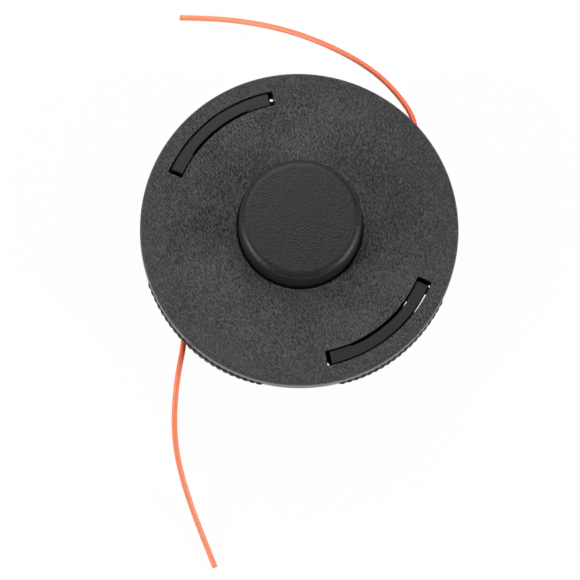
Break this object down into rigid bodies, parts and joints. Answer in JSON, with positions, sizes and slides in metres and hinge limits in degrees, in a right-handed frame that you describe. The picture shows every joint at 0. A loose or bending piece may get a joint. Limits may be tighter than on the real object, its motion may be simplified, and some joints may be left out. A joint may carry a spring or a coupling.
{
  "type": "trimmer head",
  "caption": "Round tap-feed line trimmer head: drum housing with knurled rim, clip-on cover, spool with bump knob, spring, line guides and curled free line ends.",
  "frame": {"origin": "on the thread axis, at the hub's seat face, which it rests on", "axes": "+Z along the thread axis towards the knob; the line guides lie on +X and -X, the latches on +Y and -Y"},
  "size_m": [0.1885, 0.2007, 0.0675],
  "materials": {
    "black_nylon": "fine moulded grain",
    "cover_nylon": "spark-eroded leather grain",
    "knob_nylon": "fine satin",
    "zinc_steel": "zinc plated",
    "spring_steel": "drawn wire",
    "orange_line": "extruded nylon"
  },
  "bodies": {
    "housing": {"housing": "black_nylon", "arbor_nut": "zinc_steel", "eyelet_1": "zinc_steel", "eyelet_2": "zinc_steel", "cover": "cover_nylon", "spring": "spring_steel", "line_lead_1": "orange_line", "line_lead_2": "orange_line", "line_end_1": "orange_line", "line_end_2": "orange_line"},
    "washer": {"spring_washer": "zinc_steel"},
    "spool": {"tap_spool": "knob_nylon", "line_winding_lower": "orange_line", "line_winding_upper": "orange_line"}
  },
  "joints": [
    {"name": "knob_press", "type": "slide", "parent": "housing", "child": "washer", "axis": [0, 0, -1], "range_m": [0, 0.006], "stiffness_N_per_m": 1500, "springref_m": -0.01, "deforming": ["spring", "line_lead_1", "line_lead_2"]},
    {"name": "spool_turn", "type": "hinge", "parent": "washer", "child": "spool", "pos_m": [0, 0, 0.0338], "axis": [0, 0, 1], "range_deg": [-6, 6]}
  ]
}
